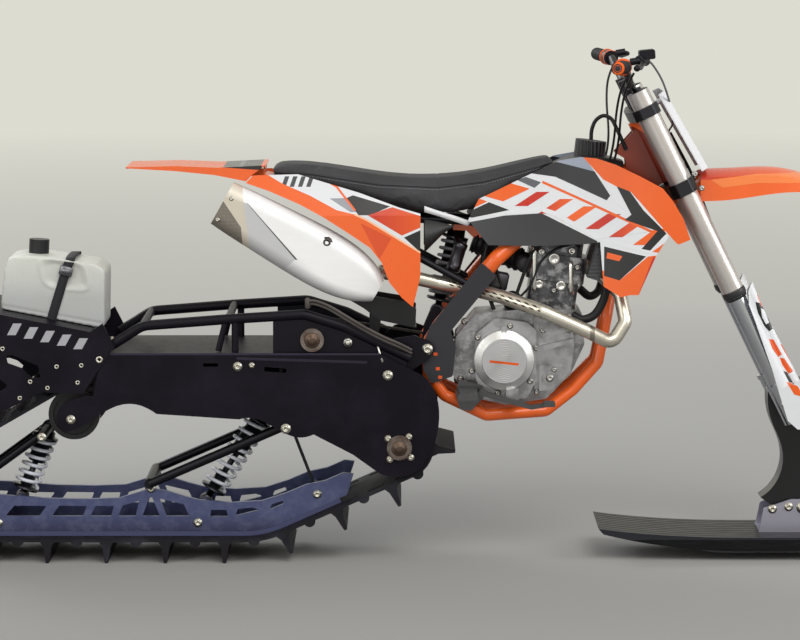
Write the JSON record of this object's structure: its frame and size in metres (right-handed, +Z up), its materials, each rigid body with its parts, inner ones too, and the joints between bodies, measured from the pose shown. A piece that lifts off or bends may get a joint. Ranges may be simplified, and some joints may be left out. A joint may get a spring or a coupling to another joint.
{
  "type": "snow bike",
  "caption": "Off-road motorcycle with a tracked rear drive in place of its rear wheel and a single steered ski at the front, with a rear rack and a fuel can.",
  "frame": {"origin": "on the ground, midway between the ski's front loop and the rear rack's bar, on the plane between the bike's sides", "axes": "+X forward, +Y to the rider's left, +Z up"},
  "size_m": [2.92, 0.8158, 1.3262],
  "materials": {
    "frame_orange": "gloss paint",
    "plastic_orange": "moulded, satin gloss",
    "plastic_white": "moulded, satin gloss",
    "plastic_black": "moulded, fine grain",
    "plastic_grey": "moulded, fine grain",
    "engine_cast": "as-cast light alloy",
    "engine_cover": "machined and bead-blasted",
    "head_grey": "as-cast light alloy",
    "pipe_steel": "heat-tinted stainless",
    "muffler_skin": "satin stainless",
    "seat_cover": "grippy vinyl",
    "cooler": "bare finned core",
    "steel_bright": "zinc plated",
    "steel_dark": "blackened",
    "kit_paint": "powder coat",
    "track_rubber": "moulded rubber",
    "rail_metal": "anodised",
    "slide_plastic": "low-friction plastic",
    "spring_white": "powder coat",
    "can_plastic": "blow-moulded, translucent",
    "webbing": "woven strap",
    "fork_alloy": "polished",
    "clamp_alloy": "machined, anodised",
    "bar_black": "anodised",
    "grip_rubber": "soft rubber",
    "hose_rubber": "smooth hose",
    "spindle_black": "powder coat",
    "ski_plastic": "moulded",
    "ski_steel": "bare steel"
  },
  "bodies": {
    "chassis": {"main_frame": "frame_orange", "subframe": "steel_dark", "engine_case": "engine_cast", "cylinder_and_head": "head_grey", "engine_covers": "engine_cover", "header_pipe": "pipe_steel", "muffler": "muffler_skin", "seat": "seat_cover", "fuel_tank": "plastic_black", "tank_cap": "plastic_black", "vent_hose": "hose_rubber", "radiators": "cooler", "shrouds": "plastic_orange", "side_panels": "plastic_white", "rear_fender": "plastic_orange", "inner_guard": "plastic_black", "rear_damper": "spring_white", "frame_guards": "plastic_grey", "foot_controls": "steel_bright", "drive_chain": "steel_dark", "kit_mount": "kit_paint", "tunnel_sides": "kit_paint", "tunnel_top": "kit_paint", "kit_frame": "kit_paint", "bearing_caps": "steel_bright", "drive_shafts": "steel_dark", "track": "track_rubber", "skid_rails": "rail_metal", "slides": "slide_plastic", "track_wheels": "plastic_black", "suspension_arms": "steel_dark", "track_shocks": "spring_white", "limiter_strap": "webbing", "rear_rack": "kit_paint", "fuel_can": "can_plastic", "fuel_can_cap": "plastic_black", "fuel_can_strap": "webbing"},
    "steering": {"triple_clamps": "clamp_alloy", "fork_uppers": "fork_alloy", "fork_lowers": "fork_alloy", "fork_guards": "plastic_white", "handlebar": "bar_black", "grips": "grip_rubber", "hand_controls": "steel_dark", "number_plate": "plastic_white", "front_fender": "plastic_white", "brake_hose": "hose_rubber", "spindle": "spindle_black"},
    "ski": {"ski": "ski_plastic", "ski_keel": "ski_steel", "ski_saddle": "steel_bright"}
  },
  "joints": [
    {"name": "steering", "type": "hinge", "parent": "chassis", "child": "steering", "pos_m": [0.525, 0, 1.126], "axis": [-0.4415, 0, 0.8973], "range_deg": [-42, 42]},
    {"name": "ski_pitch", "type": "hinge", "parent": "steering", "child": "ski", "pos_m": [0.95221, 0, 0.128], "axis": [0, 1, 0], "range_deg": [-20, 15]}
  ]
}
